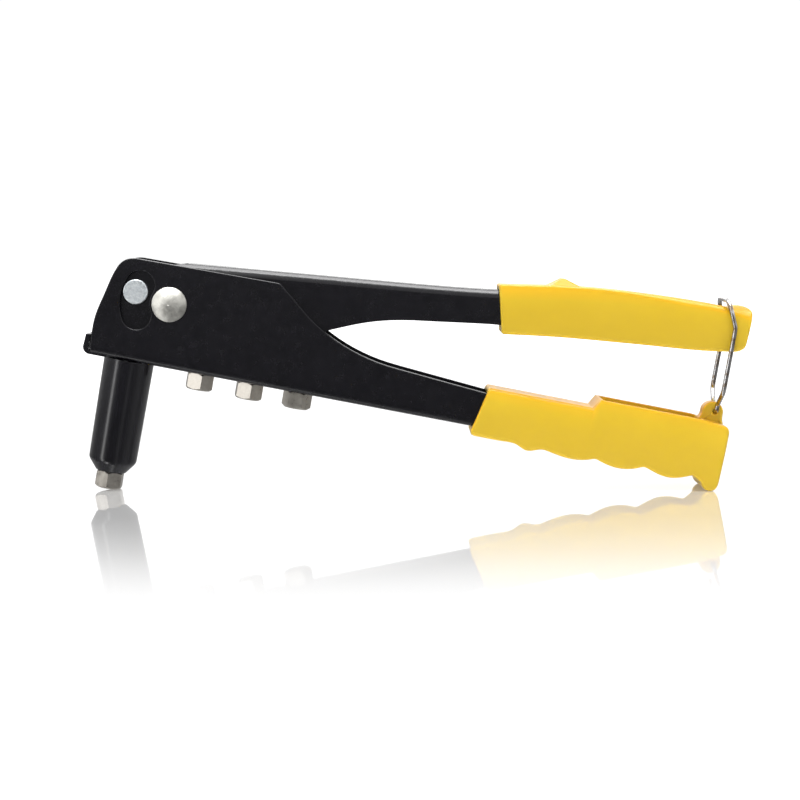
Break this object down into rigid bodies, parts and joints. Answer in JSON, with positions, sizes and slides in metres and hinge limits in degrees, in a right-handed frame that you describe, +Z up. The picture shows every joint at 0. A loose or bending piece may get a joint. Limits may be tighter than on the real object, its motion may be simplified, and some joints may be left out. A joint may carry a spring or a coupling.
{
  "type": "hand riveter",
  "caption": "Hand riveter: black pressed-steel frame and lever with yellow grips, barrel with nosepiece, spare nosepieces under the frame and a wire bail that latches the handles.",
  "frame": {"origin": "middle of the footprint at the height of the surface the tool stands on, nosepiece tip and grip heel down", "axes": "+X from the barrel towards the grips, +Y across the tool, +Z up"},
  "size_m": [0.2602, 0.0254, 0.0913],
  "materials": {
    "black_paint": "satin black stoved paint on pressed steel",
    "barrel_black": "semi-gloss black on turned steel",
    "rivet_nickel": "satin nickel on a domed head",
    "pin_zinc": "bright zinc, slightly blue",
    "nose_nickel": "nickel plate, warm grey",
    "zinc_steel": "plain zinc plate",
    "tool_steel": "hardened steel, blued",
    "spring_steel": "spring steel",
    "bail_chrome": "bright wire",
    "grip_yellow": "semi-gloss yellow plastic"
  },
  "bodies": {
    "base": {"frame": "black_paint", "pivot_rivet": "rivet_nickel", "pivot_bush": "zinc_steel", "head_bush": "zinc_steel", "barrel": "barrel_black", "lower_grip": "grip_yellow"},
    "lever": {"lever": "black_paint", "upper_grip": "grip_yellow", "link_pin": "pin_zinc", "link_pin_clip": "spring_steel"},
    "jaw_carriage": {"coupler": "zinc_steel", "jaw_case": "zinc_steel", "jaw_spring": "spring_steel"},
    "jaw_a": {"jaw_a": "tool_steel"},
    "jaw_b": {"jaw_b": "tool_steel"},
    "jaw_c": {"jaw_c": "tool_steel"},
    "jaw_pusher": {"jaw_pusher": "zinc_steel"},
    "bail": {"bail": "bail_chrome"},
    "nosepiece_3_2": {"nosepiece_3_2": "nose_nickel"},
    "nosepiece_2_4": {"nosepiece_2_4": "nose_nickel"},
    "nosepiece_4_0": {"nosepiece_4_0": "nose_nickel"},
    "nosepiece_4_8": {"nosepiece_4_8": "nose_nickel"}
  },
  "joints": [
    {"name": "lever_hinge", "type": "hinge", "parent": "base", "child": "lever", "pos_m": [-0.09625, 0, 0.0734], "axis": [0, -1, 0], "range_deg": [-3.6, 40]},
    {"name": "jaw_carriage_slide", "type": "slide", "parent": "base", "child": "jaw_carriage", "axis": [-0.1819, 0, -0.9833], "range_m": [-0.00086, 0.00951]},
    {"name": "jaw_a_slide", "type": "slide", "parent": "jaw_carriage", "child": "jaw_a", "axis": [0.3985, 0, 0.9172], "range_m": [-0.00014, 0.00161]},
    {"name": "jaw_b_slide", "type": "slide", "parent": "jaw_carriage", "child": "jaw_b", "axis": [0.0667, 0.1948, 0.9786], "range_m": [-0.00014, 0.00161]},
    {"name": "jaw_c_slide", "type": "slide", "parent": "jaw_carriage", "child": "jaw_c", "axis": [0.0667, -0.1948, 0.9786], "range_m": [-0.00014, 0.00161]},
    {"name": "jaw_pusher_slide", "type": "slide", "parent": "jaw_carriage", "child": "jaw_pusher", "axis": [0.1819, 0, 0.9833], "range_m": [-0.00014, 0.00157], "deforming": ["jaw_spring"]},
    {"name": "bail_hinge", "type": "hinge", "parent": "base", "child": "bail", "pos_m": [0.11668, 0, 0.03051], "axis": [0, 1, 0], "range_deg": [0, 120]},
    {"name": "nosepiece_3_2_spin", "type": "hinge", "parent": "base", "child": "nosepiece_3_2", "pos_m": [-0.12211, 0, 0.00574], "axis": [0.1819, 0, 0.9833], "continuous": true},
    {"name": "nosepiece_2_4_spin", "type": "hinge", "parent": "base", "child": "nosepiece_2_4", "pos_m": [-0.08571, 0, 0.04477], "axis": [0.1819, 0, 0.9833], "continuous": true},
    {"name": "nosepiece_4_0_spin", "type": "hinge", "parent": "base", "child": "nosepiece_4_0", "pos_m": [-0.06633, 0, 0.04119], "axis": [0.1819, 0, 0.9833], "continuous": true},
    {"name": "nosepiece_4_8_spin", "type": "hinge", "parent": "base", "child": "nosepiece_4_8", "pos_m": [-0.04745, 0, 0.03769], "axis": [0.1819, 0, 0.9833], "continuous": true}
  ],
  "couplings": [
    {"joint": "jaw_carriage_slide", "follows": "lever_hinge", "m_per_rad": 0.0136},
    {"joint": "jaw_a_slide", "follows": "lever_hinge", "m_per_rad": 0.0023},
    {"joint": "jaw_b_slide", "follows": "lever_hinge", "m_per_rad": 0.0023},
    {"joint": "jaw_c_slide", "follows": "lever_hinge", "m_per_rad": 0.0023},
    {"joint": "jaw_pusher_slide", "follows": "lever_hinge", "m_per_rad": 0.0022411}
  ]
}
